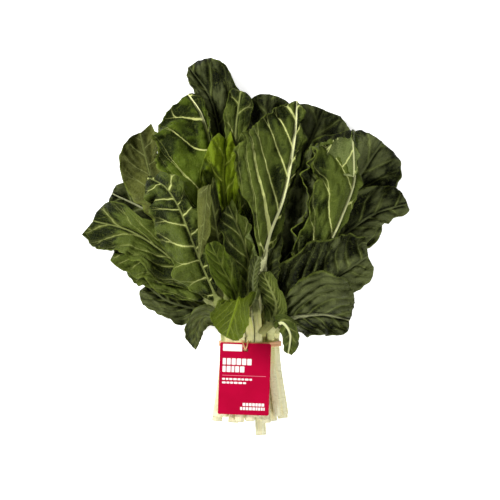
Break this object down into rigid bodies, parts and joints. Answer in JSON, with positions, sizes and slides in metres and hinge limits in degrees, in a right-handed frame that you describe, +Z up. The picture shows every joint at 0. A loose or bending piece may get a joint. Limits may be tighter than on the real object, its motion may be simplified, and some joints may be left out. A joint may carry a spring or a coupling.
{
  "type": "spinach bunch",
  "caption": "Bunch of large-leaved spinach with pale stalks, lying down, tied with a rubber band that also holds a plain printed card tag.",
  "frame": {"origin": "middle of the footprint's bounding box, on the surface the bunch lies on", "axes": "+Z up; +Y along the bunch from the cut stalk ends to the leaf tips; +X to the right seen from above"},
  "size_m": [0.3396, 0.3992, 0.1082],
  "materials": {
    "dark_green_leaf": "semi-matte dark green leaf, puckered, pale green veins and cream stalk",
    "mid_green_leaf": "semi-matte mid green leaf, puckered, pale yellow-green veins and cream stalk",
    "light_green_leaf": "semi-matte light green leaf with broad cream veins and stalk",
    "young_yellow_green_leaf": "semi-matte young yellow-green leaf, pale veins and stalk",
    "grey_green_leaf_back": "matte grey-green leaf seen mostly from its underside, raised pale veins",
    "rubber_band": "plain tan rubber, slightly translucent look",
    "printed_card": "crimson coated card with plain white printed bars"
  },
  "bodies": {
    "root": {"leaf_low_left": "dark_green_leaf", "leaf_far_left": "dark_green_leaf", "leaf_tallest": "dark_green_leaf", "leaf_back_centre": "dark_green_leaf", "leaf_back_right": "dark_green_leaf", "leaf_far_right": "dark_green_leaf", "leaf_left_under": "mid_green_leaf", "leaf_left_low_fan": "mid_green_leaf", "leaf_left_fan": "mid_green_leaf", "leaf_top_inner": "mid_green_leaf", "leaf_right_lobe": "dark_green_leaf", "leaf_right_low": "dark_green_leaf", "leaf_right_bottom": "dark_green_leaf", "leaf_left_tip": "dark_green_leaf", "leaf_left_back": "grey_green_leaf_back", "leaf_upper_left": "light_green_leaf", "leaf_centre_left_back": "young_yellow_green_leaf", "leaf_centre_small_back": "dark_green_leaf", "leaf_right_shadow": "dark_green_leaf", "leaf_right_front": "mid_green_leaf", "leaf_left_front": "mid_green_leaf", "leaf_folded_over": "grey_green_leaf_back", "leaf_centre_narrow": "mid_green_leaf", "leaf_centre_front": "mid_green_leaf", "leaf_centre_small_front": "mid_green_leaf", "leaf_right_tip": "mid_green_leaf", "leaf_oval": "young_yellow_green_leaf", "leaf_centre_dark": "dark_green_leaf", "leaf_front_drooping": "young_yellow_green_leaf", "rubber_band": "rubber_band", "card_tag": "printed_card"}
  },
  "joints": []
}
